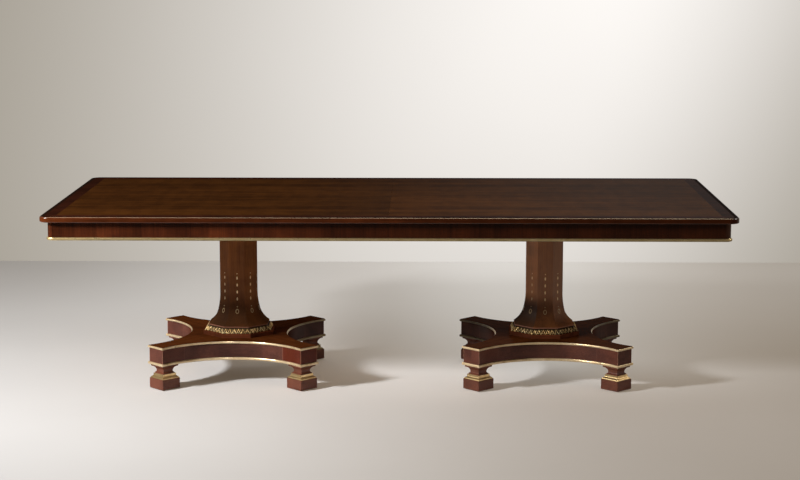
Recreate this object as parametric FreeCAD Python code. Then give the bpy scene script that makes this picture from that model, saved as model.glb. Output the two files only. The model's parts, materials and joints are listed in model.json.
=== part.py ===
import FreeCAD
import Part
import cmath
import math
import os

# A double pedestal dining table that parts in the middle and draws out.
# Origin on the floor under the middle of the top, X along the table, Y across it, Z up.
# Each half of the top stands on its own pedestal, and the left half is the right one turned half round.

# Whole table
table_length = 2800.0
table_width = 1300.0
table_height = 780.0
pedestal_spacing = 1324.0
extension_travel = 500.0
parting_gap = 0.4

# Top: core, veneers and edge moulding
edge_thickness = 23.0
edge_width = 20.0
top_corner_radius = 45.0
upper_arris_radius = 6.0
lower_arris_radius = 4.0
veneer_thickness = 1.0
border_width = 65.0

# Apron rails, corner posts and brass strip
apron_inset = 30.0
apron_height = 75.0
rail_thickness = 22.0
post_width = 45.0
apron_corner_radius = 25.0
strip_height = 12.5
strip_projection = 5.5
strip_let_in = 3.0
strip_nose_share = 0.36

# Frame under the top
bearer_width = 60.0
bearer_height = 30.0
bearer_spread = 300.0
parting_bearer_inset = 160.0
head_plate_width = 300.0
head_plate_thickness = 30.0
head_bolt_edge = 40.0
head_bolt_radius = 4.0
head_bolt_head_radius = 7.5
head_bolt_head_height = 6.0
head_bolt_recess_radius = 9.0
head_bolt_recess_depth = 8.0
head_bolt_cover = 8.0
bolt_clearance = 0.4

# Sliding runners under the bearers
runner_width = 30.0
runner_height = 34.0
runner_offset = 250.0
runner_relief_gap = 30.0
runner_drop = 1.0
tongue_length = 300.0
tongue_depth = 10.0
tongue_height = 12.0
slide_clearance = 0.4
stop_wall = 60.0
stop_clearance = 0.5

# Column
column_width = 156.0
flare_height = 134.5
flare_spread = 49.5
flare_knee_spread_share = 0.19
flare_knee_height_share = 0.44
flare_lip = 4.0
tenon_radius = 55.0
tenon_fit = 0.2
tenon_floor = 14.5

# Husk inlay on each face of the column
inlay_depth = 1.5
husk_count = 4
husk_gap = 15.3
husk_length = 15.0
husk_width = 6.0
husk_widest_share = 0.45
lowest_husk_gap = 23.3
bead_radius = 2.3
upper_bead_gap = 9.2
lower_bead_gap = 7.2
oval_rise = 59.8
oval_length = 20.5
oval_width = 15.0
oval_band = 3.0

# Carved collar and step under the column
collar_height = 24.0
collar_margin = 3.0
collar_spread = 16.0
collar_foot = 5.0
step_height = 16.5
step_margin = 3.0
step_arris = 1.5

# Plinth with four hollow sides
plinth_height = 82.0
tip_reach = 454.0
waist_reach = 206.0
side_arc_radius = 358.6
moulding_projection = 5.0
moulding_let_in = 3.0
base_moulding_height = 11.5
top_moulding_height = 9.5
moulding_nose_share = 0.32
plinth_top_thickness = 1.5

# Feet, square and turned to the diagonals
foot_overhang = 1.5
glide_height = 3.0
glide_radius = 20.0
block_width = 91.0
block_height = 43.0
block_arris = 1.2
band_bottom_width = 85.0
band_top_width = 67.0
ogee_height = 14.0
band_fillet_height = 6.0
neck_fillet_width = 59.0
neck_fillet_height = 4.0
neck_waist_width = 48.0
neck_waist_rise = 7.0
neck_top_width = 81.0
neck_cavetto_height = 20.0
neck_crown_height = 7.0
neck_shoulder = 2.0
foot_bolt_radius = 4.0
foot_bolt_head_radius = 7.0
foot_bolt_head_height = 6.0
foot_bolt_recess_radius = 9.0
foot_bolt_recess_depth = 10.0
foot_bolt_grip = 45.0

# Tie rod and flange nuts
rod_radius = 6.0
rod_clearance = 0.5
rod_stub = 6.0
nut_width = 19.0
nut_height = 9.0
nut_flange_radius = 14.0
nut_flange_height = 3.0
nut_recess_radius = 18.0
nut_recess_gap = 6.0

# Alignment pins at the parting line
pin_radius = 5.0
pin_spread = 400.0
pin_seat = 25.0
pin_reach = 12.0
pin_clearance = 0.4
pin_end_gap = 1.0

# Turning latches under the top
latch_rail_gap = 103.0
latch_pivot_inset = 35.0
latch_thickness = 4.0
latch_width = 24.0
latch_drop = 6.0
latch_hook_reach = 15.0
latch_handle_reach = 45.0
latch_clearance = 0.3
latch_corner_share = 0.45
latch_open_degrees = 25.0
pivot_radius = 5.0
pivot_flange_radius = 9.0
pivot_head_height = 4.0
pivot_thread_radius = 3.0
pivot_cover = 10.0
keeper_radius = 5.0
keeper_length = 13.0

# How far cutting bodies reach past a face, and how near two places count as one
cut_overrun = 10.0
same_place = 0.001

# Heights that follow from the sizes above, from the floor up and from the top down
block_top = glide_height + block_height
ogee_top = block_top + ogee_height
band_top = ogee_top + band_fillet_height
neck_waist_height = band_top + neck_fillet_height + neck_waist_rise
neck_cavetto_top = neck_waist_height + neck_cavetto_height
plinth_bottom = neck_cavetto_top + neck_crown_height
base_moulding_top = plinth_bottom + base_moulding_height
plinth_top_height = plinth_bottom + plinth_height
top_moulding_top = plinth_top_height - plinth_top_thickness
top_moulding_bottom = top_moulding_top - top_moulding_height
nut_length = nut_flange_height + nut_height
lower_nut_seat = plinth_bottom + nut_length + rod_stub + nut_recess_gap
tenon_bottom = lower_nut_seat + tenon_floor
step_top = plinth_top_height + step_height
column_bottom = step_top + collar_height
flare_bottom = column_bottom + flare_lip
oval_centre = flare_bottom + oval_rise
lower_bead_centre = oval_centre + oval_length / 2 + lower_bead_gap + bead_radius
lowest_husk_centre = lower_bead_centre + bead_radius + lowest_husk_gap + husk_length / 2
husk_pitch = husk_length + husk_gap
highest_husk_centre = lowest_husk_centre + (husk_count - 1) * husk_pitch
upper_bead_centre = highest_husk_centre + husk_length / 2 + upper_bead_gap + bead_radius
core_top = table_height - veneer_thickness
top_underside = table_height - edge_thickness
thread_top = core_top - pivot_cover
apron_bottom = top_underside - apron_height
strip_top = apron_bottom + strip_height
bearer_bottom = top_underside - bearer_height
head_bolt_top = top_underside - head_bolt_cover
head_plate_bottom = bearer_bottom - head_plate_thickness
latch_top = top_underside - latch_drop
latch_bottom = latch_top - latch_thickness

# Widths and places that follow from the sizes above, for the right half
half_length = table_length / 2
half_width = table_width / 2
parting_x = parting_gap / 2
pedestal_x = pedestal_spacing / 2
rail_inner_side = half_width - apron_inset - rail_thickness
inner_bearer_x = pedestal_x - bearer_spread / 2
outer_bearer_x = pedestal_x + bearer_spread / 2
runner_root = inner_bearer_x + bearer_width / 2
runner_relief_end = parting_bearer_inset - bearer_width / 2 - runner_relief_gap
runner_tip = -(tongue_length + extension_travel + stop_wall + stop_clearance) / 2
groove_end = runner_tip + stop_wall
collar_top_width = column_width + 2 * flare_spread + 2 * collar_margin
collar_bottom_width = collar_top_width + 2 * collar_spread
step_width = collar_bottom_width + 2 * step_margin
foot_reach = tip_reach - block_width / 2 + foot_overhang
latch_y = rail_inner_side - latch_rail_gap - latch_handle_reach
keeper_reach = 2 * latch_pivot_inset

half_turn = 180.0
quarter_turn = 90.0
eighth_turn = 45.0
octagon_sides = 8
hexagon_sides = 6
square_sides = 4
origin = FreeCAD.Vector(0, 0, 0)
lengthwise = FreeCAD.Vector(1, 0, 0)
up = FreeCAD.Vector(0, 0, 1)


# Basic shapes
def point(x, y, z=0):
    return FreeCAD.Vector(x, y, z)


def block(x_low, x_high, y_low, y_high, z_low, z_high):
    return Part.makeBox(x_high - x_low, y_high - y_low, z_high - z_low, point(x_low, y_low, z_low))


def post(radius, z_low, z_high, x=0, y=0):
    return Part.makeCylinder(radius, z_high - z_low, point(x, y, z_low))


def prism(edges, z_low, z_high):
    """Upright solid on an outline drawn at height zero."""
    face = Part.Face(Part.Wire(edges))
    face.translate(point(0, 0, z_low))
    return face.extrude(point(0, 0, z_high - z_low))


def line(start, end):
    return Part.LineSegment(start, end).toShape()


def arc(start, middle, end):
    return Part.Arc(start, middle, end).toShape()


def turned(shape, degrees):
    copy = shape.copy()
    copy.rotate(origin, up, degrees)
    return copy


def moved(shape, x, y=0, z=0):
    copy = shape.copy()
    copy.translate(point(x, y, z))
    return copy


def group(solids):
    return Part.makeCompound(solids)


# Profiles and mitred solids
def tangent_arc(start, direction, end):
    """Arc step that leaves start along direction and reaches end, with its direction there.

    Profile points are complex numbers: distance from the axis plus height times i.
    """
    chord = end - start
    turn = cmath.phase(chord / direction)
    to_middle = cmath.rect(abs(chord) / (2 * math.cos(turn / 2)), cmath.phase(direction) + turn / 2)
    end_direction = direction * cmath.exp(2j * turn)
    return [start + to_middle, end], end_direction


def profile_edges(profile, side):
    """Edges of a half profile on the right of the axis (side 1) or on its left (side -1)."""
    edges = []
    here = profile[0]
    for step in profile[1:]:
        places = [point(side * place.real, 0, place.imag) for place in [here] + step]
        edges.append(line(*places) if len(step) == 1 else arc(*places))
        here = step[-1]
    return edges


def mitred_solid(profile, sides):
    """Solid with the same profile on every side and a mitre at each corner."""
    first = profile[0]
    last = profile[-1][-1]
    right = profile_edges(profile, 1)
    left = profile_edges(profile, -1)
    ends = [
        line(point(-first.real, 0, first.imag), point(first.real, 0, first.imag)),
        line(point(-last.real, 0, last.imag), point(last.real, 0, last.imag)),
    ]
    face = Part.Face(Part.Wire(Part.__sortEdges__(right + left + ends)))
    reach = 2 * max(place.real for step in [[first]] + profile[1:] for place in step)
    face.translate(point(0, -reach, 0))
    slab = face.extrude(point(0, 2 * reach, 0))
    solid = slab
    for step in range(1, sides // 2):
        solid = solid.common(turned(slab, step * 2 * half_turn / sides))
    return solid


def flat_sided(width, z_low, z_high, sides):
    """Upright prism with this many sides, by its width across flats."""
    return mitred_solid([complex(width / 2, z_low), [complex(width / 2, z_high)]], sides)


def level_edges(solid, height):
    """Edges of a solid that lie at one height."""
    chosen = []
    for edge in solid.Edges:
        bounds = edge.BoundBox
        if abs(bounds.ZMin - height) < same_place and abs(bounds.ZMax - height) < same_place:
            chosen.append(edge)
    return chosen


def rim_edges(solid, height):
    """Edges of a plate's rim at one height, apart from the one along the parting line."""
    return [edge for edge in level_edges(solid, height) if edge.BoundBox.XMax > parting_x + same_place]


# Top of the right half
def half_plate(inset, corner_radius, z_low, z_high):
    """Plate of the right half, set in from the edge of the top, with its two outer corners rounded."""
    end = half_length - inset
    side = half_width - inset
    bulge = corner_radius * (1 - math.cos(math.radians(eighth_turn)))
    edges = [
        line(point(parting_x, side), point(parting_x, -side)),
        line(point(parting_x, -side), point(end - corner_radius, -side)),
        arc(
            point(end - corner_radius, -side),
            point(end - bulge, -side + bulge),
            point(end, -side + corner_radius),
        ),
        line(point(end, -side + corner_radius), point(end, side - corner_radius)),
        arc(
            point(end, side - corner_radius),
            point(end - bulge, side - bulge),
            point(end - corner_radius, side),
        ),
        line(point(end - corner_radius, side), point(parting_x, side)),
    ]
    return prism(edges, z_low, z_high)


def mitred_lengths(band):
    """The front, end and back lengths of a band round the half, mitred at its two corners."""
    z_low = band.BoundBox.ZMin - cut_overrun
    z_high = band.BoundBox.ZMax + cut_overrun
    apex = point(half_length - half_width, 0)
    front_corner = point(half_length + cut_overrun, -half_width - cut_overrun)
    back_corner = point(half_length + cut_overrun, half_width + cut_overrun)
    middle = point(-cut_overrun, 0)
    front_start = point(-cut_overrun, -half_width - cut_overrun)
    back_start = point(-cut_overrun, half_width + cut_overrun)
    regions = [
        [front_start, front_corner, apex, middle],
        [front_corner, back_corner, apex],
        [back_corner, back_start, middle, apex],
    ]
    lengths = []
    for corners in regions:
        edges = [line(corners[i - 1], corners[i]) for i in range(len(corners))]
        lengths.append(band.common(prism(edges, z_low, z_high)))
    return group([solid for length in lengths for solid in length.Solids])


def inner_plate(z_low, z_high):
    return half_plate(edge_width, top_corner_radius - edge_width, z_low, z_high)


def field_block(z_low, z_high, y_low=border_width - half_width, y_high=half_width - border_width):
    return block(parting_x, half_length - border_width, y_low, y_high, z_low, z_high)


def edge_moulding():
    rim = half_plate(0, top_corner_radius, top_underside, table_height)
    rim = rim.makeFillet(upper_arris_radius, rim_edges(rim, table_height))
    rim = rim.makeFillet(lower_arris_radius, rim_edges(rim, top_underside))
    return mitred_lengths(rim.cut(inner_plate(top_underside - cut_overrun, table_height + cut_overrun)))


def crossbanding():
    band = inner_plate(core_top, table_height)
    return mitred_lengths(band.cut(field_block(core_top - cut_overrun, table_height + cut_overrun)))


def field_veneer():
    front = field_block(core_top, table_height, y_high=0)
    back = field_block(core_top, table_height, y_low=0)
    return group([front, back])


# Apron of the right half
def apron_ring(outer_inset, inner_inset, z_low, z_high):
    """Band round the half between two insets from the edge of the top."""
    centre_inset = apron_inset + apron_corner_radius
    outer = half_plate(outer_inset, centre_inset - outer_inset, z_low, z_high)
    inner = half_plate(inner_inset, centre_inset - inner_inset, z_low - cut_overrun, z_high + cut_overrun)
    return outer, inner


def brass_strip():
    nose_radius = strip_nose_share * strip_height
    outer, inner = apron_ring(apron_inset - strip_projection, apron_inset + strip_let_in, apron_bottom, strip_top)
    nosed = outer.makeFillet(nose_radius, rim_edges(outer, strip_top))
    nosed = nosed.makeFillet(nose_radius, rim_edges(nosed, apron_bottom))
    return nosed.cut(inner)


def apron():
    """Long rails, end rail and corner posts, rebated at the bottom for the brass strip."""
    side = half_width - apron_inset
    end = half_length - apron_inset
    rebate_outer, rebate_inner = apron_ring(0, apron_inset + strip_let_in, apron_bottom - cut_overrun, strip_top)
    rebate = rebate_outer.cut(rebate_inner)
    body = half_plate(apron_inset, apron_corner_radius, apron_bottom, top_underside).cut(rebate)
    long_end = end - post_width
    end_side = side - post_width
    inner_end = end - rail_thickness
    heights = (apron_bottom - cut_overrun, top_underside + cut_overrun)
    rails = []
    posts = []
    for way in (-1, 1):
        faces = sorted((way * rail_inner_side, way * (side + cut_overrun)))
        rails.append(body.common(block(0, long_end, *faces, *heights)))
        faces = sorted((way * end_side, way * (side + cut_overrun)))
        posts.append(body.common(block(long_end, end + cut_overrun, *faces, *heights)))
    end_rail = body.common(block(inner_end, end + cut_overrun, -end_side, end_side, *heights))
    return group(rails), end_rail, group(posts)


# Frame under the right half
def bolt_places():
    side = head_plate_width / 2 - head_bolt_edge
    return [(x, y) for x in (inner_bearer_x, outer_bearer_x) for y in (-side, side)]


def bearers():
    """Cross bearers near the parting line and over both ends of the head plate."""
    half_bearer = bearer_width / 2
    beams = []
    for x in (parting_bearer_inset, inner_bearer_x, outer_bearer_x):
        ends = (-rail_inner_side, rail_inner_side)
        beams.append(block(x - half_bearer, x + half_bearer, *ends, bearer_bottom, top_underside))
    drillings = [post(head_bolt_radius, head_plate_bottom, head_bolt_top, x, y) for x, y in bolt_places()]
    return group([beam.cut(group(drillings)) for beam in beams])


def head_plate():
    reach = (bearer_spread + bearer_width) / 2
    side = head_plate_width / 2
    plate = block(pedestal_x - reach, pedestal_x + reach, -side, side, head_plate_bottom, bearer_bottom)
    below = head_plate_bottom - cut_overrun
    above = bearer_bottom + cut_overrun
    for x, y in bolt_places():
        plate = plate.cut(post(head_bolt_radius + bolt_clearance, below, above, x, y))
        recess_top = head_plate_bottom + head_bolt_recess_depth
        plate = plate.cut(post(head_bolt_recess_radius, below, recess_top, x, y))
    return plate.cut(post(rod_radius + rod_clearance, below, above, pedestal_x))


def head_bolts():
    seat = head_plate_bottom + head_bolt_recess_depth
    bolts = []
    for x, y in bolt_places():
        head = post(head_bolt_head_radius, seat - head_bolt_head_height, seat, x, y)
        bolts.append(head.fuse(post(head_bolt_radius, seat, head_bolt_top, x, y)))
    return group(bolts)


def runner_bar(y_low, y_high):
    """A runner that is screwed up to its own half's bearers and hangs a little clear of the other's."""
    bar = block(runner_tip, runner_root, y_low, y_high, bearer_bottom - runner_height, bearer_bottom)
    relief = block(
        runner_tip - cut_overrun,
        runner_relief_end,
        y_low - cut_overrun,
        y_high + cut_overrun,
        bearer_bottom - runner_drop,
        bearer_bottom + cut_overrun,
    )
    return bar.cut(relief)


def runners():
    """One runner with a tongue at the back and one with a groove at the front."""
    face = runner_offset + runner_width
    middle = bearer_bottom - runner_height / 2
    tongue = block(
        runner_tip,
        runner_tip + tongue_length,
        face,
        face + tongue_depth,
        middle - tongue_height / 2,
        middle + tongue_height / 2,
    )
    tongued = runner_bar(runner_offset, face).fuse(tongue).removeSplitter()
    groove_face = -face - slide_clearance
    groove = block(
        groove_end,
        runner_root + cut_overrun,
        groove_face - tongue_depth,
        groove_face + cut_overrun,
        middle - tongue_height / 2 - slide_clearance,
        middle + tongue_height / 2 + slide_clearance,
    )
    grooved = runner_bar(groove_face - runner_width, groove_face).cut(groove)
    return group([tongued, grooved])


# Column on the pedestal's own axis
def column_profile(inset):
    """Half profile of the column from its lip up to the head plate, this far inside its face."""
    straight = column_width / 2 - inset
    flare_top = complex(straight, flare_bottom + flare_height)
    knee_spread = flare_knee_spread_share * flare_spread
    knee_height = flare_knee_height_share * flare_height
    knee = complex(straight + knee_spread, flare_bottom + knee_height)
    lip = complex(straight + flare_spread, flare_bottom)
    upper, direction = tangent_arc(flare_top, -1j, knee)
    lower, direction = tangent_arc(knee, direction, lip)
    return [
        complex(lip.real, column_bottom),
        [lip],
        [lower[0], knee],
        [upper[0], flare_top],
        [complex(straight, head_plate_bottom)],
    ]


def husk(height):
    """Outline of one pointed husk on the front face."""
    top = point(0, 0, height + husk_length / 2)
    low = point(0, 0, height - husk_length / 2)
    widest = height - husk_length / 2 + husk_widest_share * husk_length
    right = arc(top, point(husk_width / 2, 0, widest), low)
    left = arc(low, point(-husk_width / 2, 0, widest), top)
    return [right, left]


def oval(height, length, width):
    """Upright ellipse on the front face, or a circle where both sizes are the same."""
    centre = point(0, 0, height)
    if length == width:
        return [Part.Circle(centre, point(0, 1, 0), length / 2).toShape()]
    return [Part.Ellipse(point(0, 0, height + length / 2), point(width / 2, 0, height), centre).toShape()]


def front_prism(edges):
    """Motif on the front face, carried back to the column's axis."""
    reach = column_width / 2 + flare_spread + cut_overrun
    face = Part.Face(Part.Wire(edges))
    face.translate(point(0, -reach, 0))
    return face.extrude(point(0, reach, 0))


def front_motifs():
    """Beads, husks and an open oval, strung one above the other."""
    motifs = [front_prism(husk(lowest_husk_centre + i * husk_pitch)) for i in range(husk_count)]
    for height in (lower_bead_centre, upper_bead_centre):
        motifs.append(front_prism(oval(height, 2 * bead_radius, 2 * bead_radius)))
    ring = front_prism(oval(oval_centre, oval_length, oval_width))
    hollow = front_prism(oval(oval_centre, oval_length - 2 * oval_band, oval_width - 2 * oval_band))
    motifs.append(ring.cut(hollow))
    return motifs


def column_and_inlay():
    outer = mitred_solid(column_profile(0), octagon_sides)
    inner = mitred_solid(column_profile(inlay_depth), octagon_sides)
    skin = outer.cut(inner)
    front = [solid for motif in front_motifs() for solid in motif.common(skin).Solids]
    inlay = []
    for i in range(octagon_sides):
        inlay += [turned(solid, i * eighth_turn) for solid in front]
    shaft = outer.cut(group(inlay))
    tenon = post(tenon_radius, tenon_bottom, column_bottom)
    shaft = shaft.fuse(tenon)
    bore = post(rod_radius + rod_clearance, tenon_bottom - cut_overrun, head_plate_bottom + cut_overrun)
    return shaft.cut(bore), group(inlay)


def collar():
    foot = complex(collar_bottom_width / 2, step_top)
    shoulder = complex(collar_bottom_width / 2, step_top + collar_foot)
    top = complex(collar_top_width / 2, column_bottom)
    rounding, direction = tangent_arc(shoulder, 1j, top)
    ring = mitred_solid([foot, [shoulder], rounding], octagon_sides)
    return ring.cut(post(tenon_radius + tenon_fit, step_top - cut_overrun, column_bottom + cut_overrun))


def step():
    shoulder = complex(step_width / 2, step_top - step_arris)
    edge = complex(step_width / 2 - step_arris, step_top)
    slab = mitred_solid([complex(step_width / 2, plinth_top_height), [shoulder], [edge]], octagon_sides)
    return slab.cut(post(tenon_radius + tenon_fit, plinth_top_height - cut_overrun, step_top + cut_overrun))


# Plinth on the pedestal's own axis
def plinth_outline(offset):
    """Four square tips joined by hollow arcs, this far outside the side face."""
    centre = waist_reach + side_arc_radius
    radius = side_arc_radius - offset
    reach = tip_reach + offset
    spread = math.sqrt(2) * centre
    rest = reach ** 2 - spread * reach + centre ** 2 - radius ** 2
    half_tip = (spread - math.sqrt(spread ** 2 - 4 * rest)) / 2
    edges = []
    for i in range(square_sides):
        tip_turn = eighth_turn + i * quarter_turn
        start = turn_point(reach, -half_tip, tip_turn)
        end = turn_point(reach, half_tip, tip_turn)
        waist = turn_point(centre - radius, 0, tip_turn + eighth_turn)
        following = turn_point(reach, -half_tip, tip_turn + quarter_turn)
        edges.append(line(start, end))
        edges.append(arc(end, waist, following))
    return edges


def turn_point(along, across, degrees):
    """Point given along and across a direction in the floor plane."""
    cosine = math.cos(math.radians(degrees))
    sine = math.sin(math.radians(degrees))
    return point(along * cosine - across * sine, along * sine + across * cosine)


def plinth_prism(offset, z_low, z_high):
    return prism(plinth_outline(offset), z_low, z_high)


def nose_radius(moulding_height):
    return moulding_nose_share * moulding_height


def plinth_moulding(z_low, z_high):
    """Gilt strip round the plinth with a rounded nose, let into a rebate."""
    outer = plinth_prism(moulding_projection, z_low, z_high)
    for height in (z_low, z_high):
        outer = outer.makeFillet(nose_radius(z_high - z_low), level_edges(outer, height))
    return outer.cut(plinth_prism(-moulding_let_in, z_low - cut_overrun, z_high + cut_overrun))


def foot_places():
    return [turn_point(foot_reach, 0, eighth_turn + i * quarter_turn) for i in range(square_sides)]


def plinth_core():
    core = plinth_prism(0, base_moulding_top, top_moulding_bottom)
    core = core.fuse(plinth_prism(-moulding_let_in, plinth_bottom, base_moulding_top))
    core = core.fuse(plinth_prism(-moulding_let_in, top_moulding_bottom, top_moulding_top))
    below = plinth_bottom - cut_overrun
    above = plinth_top_height + cut_overrun
    core = core.cut(post(rod_radius + rod_clearance, below, above))
    core = core.cut(post(tenon_radius + tenon_fit, tenon_bottom, above))
    core = core.cut(post(nut_recess_radius, below, lower_nut_seat))
    for place in foot_places():
        core = core.cut(post(foot_bolt_radius, below, plinth_bottom + foot_bolt_grip, place.x, place.y))
    return core


def plinth_top():
    """Panel over the core and the top moulding, out to where the moulding's nose turns down."""
    overhang = moulding_projection - nose_radius(top_moulding_height)
    panel = plinth_prism(overhang, top_moulding_top, plinth_top_height)
    hole = post(tenon_radius + tenon_fit, plinth_bottom, plinth_top_height + cut_overrun)
    return panel.cut(hole)


# Feet on their own axis
def foot_block():
    body = flat_sided(block_width, glide_height, block_top, square_sides)
    body = body.makeChamfer(block_arris, body.Edges)
    recess_top = glide_height + foot_bolt_recess_depth
    return body.cut(post(foot_bolt_recess_radius, glide_height - cut_overrun, recess_top))


def foot_band():
    low = complex(band_bottom_width / 2, block_top)
    high = complex(band_top_width / 2, ogee_top)
    middle = (low + high) / 2
    lower, direction = tangent_arc(low, 1j, middle)
    upper, direction = tangent_arc(middle, direction, high)
    return mitred_solid([low, lower, upper, [complex(high.real, band_top)]], square_sides)


def foot_neck():
    fillet = complex(neck_fillet_width / 2, band_top)
    fillet_top = fillet + 1j * neck_fillet_height
    spring = fillet_top - neck_shoulder
    waist = complex(neck_waist_width / 2, neck_waist_height)
    crown = complex(neck_top_width / 2 - neck_shoulder, neck_cavetto_top)
    shoulder = crown + neck_shoulder
    below, direction = tangent_arc(waist, -1j, spring)
    above, direction = tangent_arc(waist, 1j, crown)
    top = complex(shoulder.real, plinth_bottom)
    profile = [fillet, [fillet_top], [spring], [below[0], waist], above, [shoulder], [top]]
    return mitred_solid(profile, square_sides)


def foot_bolt():
    seat = glide_height + foot_bolt_recess_depth
    head = post(foot_bolt_head_radius, seat - foot_bolt_head_height, seat)
    return head.fuse(post(foot_bolt_radius, seat, plinth_bottom + foot_bolt_grip))


def four_feet(solid):
    """The same piece under each tip of the plinth, turned to its diagonal."""
    return group([moved(turned(solid, eighth_turn), place.x, place.y) for place in foot_places()])


def bolted(solid):
    hole = post(foot_bolt_radius + bolt_clearance, 0, plinth_bottom + cut_overrun)
    return solid.cut(hole)


# Tie rod and nuts on the pedestal's own axis
def tie_nut(seat, way):
    """Flange nut against a seat, with its hexagon on the side that way points to."""
    flange_end = seat + way * nut_flange_height
    nut_end = flange_end + way * nut_height
    flange = post(nut_flange_radius, *sorted((seat, flange_end)))
    hexagon = flat_sided(nut_width, *sorted((flange_end, nut_end)), hexagon_sides)
    thread = post(rod_radius, seat - cut_overrun - nut_height, seat + cut_overrun + nut_height)
    return flange.fuse(hexagon).cut(thread)


def tie_rod_and_nuts():
    """Rod through the pedestal from the plinth to the top of the head plate, with a nut at each end."""
    end = nut_length + rod_stub
    rod = post(rod_radius, lower_nut_seat - end, bearer_bottom + end)
    return rod, group([tie_nut(lower_nut_seat, -1), tie_nut(bearer_bottom, 1)])


def pedestal():
    """Every piece of one pedestal, on its own axis."""
    column, inlay = column_and_inlay()
    rod, nuts = tie_rod_and_nuts()
    return {
        "column": column,
        "column_inlay": inlay,
        "collar": collar(),
        "step": step(),
        "plinth_core": plinth_core(),
        "plinth_top": plinth_top(),
        "plinth_top_moulding": plinth_moulding(top_moulding_bottom, top_moulding_top),
        "plinth_base_moulding": plinth_moulding(plinth_bottom, base_moulding_top),
        "foot_necks": four_feet(bolted(foot_neck())),
        "foot_bands": four_feet(bolted(foot_band())),
        "foot_blocks": four_feet(bolted(foot_block())),
        "foot_bolts": four_feet(foot_bolt()),
        "glides": four_feet(post(glide_radius, 0, glide_height)),
        "tie_rod": rod,
        "tie_nuts": nuts,
    }


def right_half():
    """Every piece that both halves have, placed for the right half."""
    long_rails, end_rail, corner_posts = apron()
    pieces = {
        "top_core": inner_plate(top_underside, core_top),
        "edge_moulding": edge_moulding(),
        "field_veneer": field_veneer(),
        "crossbanding": crossbanding(),
        "long_rails": long_rails,
        "end_rail": end_rail,
        "corner_posts": corner_posts,
        "brass_strip": brass_strip(),
        "bearers": bearers(),
        "head_plate": head_plate(),
        "head_bolts": head_bolts(),
        "runners": runners(),
    }
    for name, solid in pedestal().items():
        pieces[name] = moved(solid, pedestal_x)
    return pieces


# Alignment pins, which sit in the left half and enter the right one
def pin_cylinder(radius, x_low, x_high, y):
    middle = (top_underside + core_top) / 2
    return Part.makeCylinder(radius, x_high - x_low, point(x_low, y, middle), lengthwise)


def alignment_pins():
    return group([pin_cylinder(pin_radius, -pin_seat, pin_reach, i * pin_spread) for i in (-1, 0, 1)])


def pin_sockets():
    end = pin_reach + pin_end_gap
    radius = pin_radius + pin_clearance
    return group([pin_cylinder(radius, -cut_overrun, end, i * pin_spread) for i in (-1, 0, 1)])


# Latches, which turn on the left half and hook round a keeper on the right one
def latch(side):
    """Latch parked along the parting line, with its hook pointing to the middle of the table."""
    x = -latch_pivot_inset
    y = side * latch_y
    tip = keeper_reach + latch_hook_reach
    near = y - side * tip
    far = y + side * latch_handle_reach
    bar = block(x - latch_width / 2, x + latch_width / 2, *sorted((near, far)), latch_bottom, latch_top)
    bar = bar.makeFillet(latch_corner_share * latch_width, upright_edges(bar))
    slot_half = keeper_radius + latch_clearance
    lag = math.degrees(slot_half / keeper_reach)
    low = latch_bottom - cut_overrun
    depth = latch_thickness + 2 * cut_overrun
    sweep = latch_open_degrees + lag
    slot = Part.makeCylinder(keeper_reach + slot_half, depth, point(0, 0, low), up, sweep)
    slot = slot.cut(post(keeper_reach - slot_half, low - cut_overrun, latch_top + 2 * cut_overrun))
    first = quarter_turn - latch_open_degrees if side < 0 else -quarter_turn - lag
    slot = moved(turned(slot, first), x, y)
    hole = post(pivot_radius + latch_clearance, low, latch_top + cut_overrun, x, y)
    return bar.cut(slot).cut(hole)


def upright_edges(solid):
    chosen = []
    for edge in solid.Edges:
        bounds = edge.BoundBox
        if bounds.XLength < same_place and bounds.YLength < same_place:
            chosen.append(edge)
    return chosen


def latch_pivots():
    """Shoulder screws up into the left half, with a flange above the latch and a head below it."""
    pivots = []
    for side in (-1, 1):
        x = -latch_pivot_inset
        y = side * latch_y
        head_top = latch_bottom - latch_clearance
        screw = post(pivot_radius, head_top, top_underside, x, y)
        screw = screw.fuse(post(pivot_flange_radius, latch_top + latch_clearance, top_underside, x, y))
        screw = screw.fuse(post(pivot_flange_radius, head_top - pivot_head_height, head_top, x, y))
        pivots.append(screw.fuse(post(pivot_thread_radius, top_underside, thread_top, x, y)))
    return group(pivots)


def latch_keepers():
    """Plain pins under the right half that the hooks close round."""
    keepers = []
    for side in (-1, 1):
        x = keeper_reach - latch_pivot_inset
        y = side * latch_y
        pin = post(keeper_radius, top_underside - keeper_length, top_underside, x, y)
        keepers.append(pin.fuse(post(pivot_thread_radius, top_underside, thread_top, x, y)))
    return group(keepers)


# The two halves and what joins them
half = right_half()
nodes = {}
for name, solid in half.items():
    nodes["right_" + name] = solid
    nodes["left_" + name] = turned(solid, half_turn)

nodes["left_alignment_pins"] = alignment_pins()
nodes["left_latch_pivots"] = latch_pivots()
nodes["right_latch_keepers"] = latch_keepers()
nodes["front_latch"] = latch(-1)
nodes["back_latch"] = latch(1)
nodes["left_top_core"] = nodes["left_top_core"].cut(alignment_pins()).cut(latch_pivots())
nodes["right_top_core"] = nodes["right_top_core"].cut(pin_sockets()).cut(latch_keepers())

os.makedirs("parts", exist_ok=True)
for name, solid in nodes.items():
    solid.exportStep("parts/" + name + ".step")
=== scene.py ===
import json
import math

import bpy
from mathutils import Matrix, Vector


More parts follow.
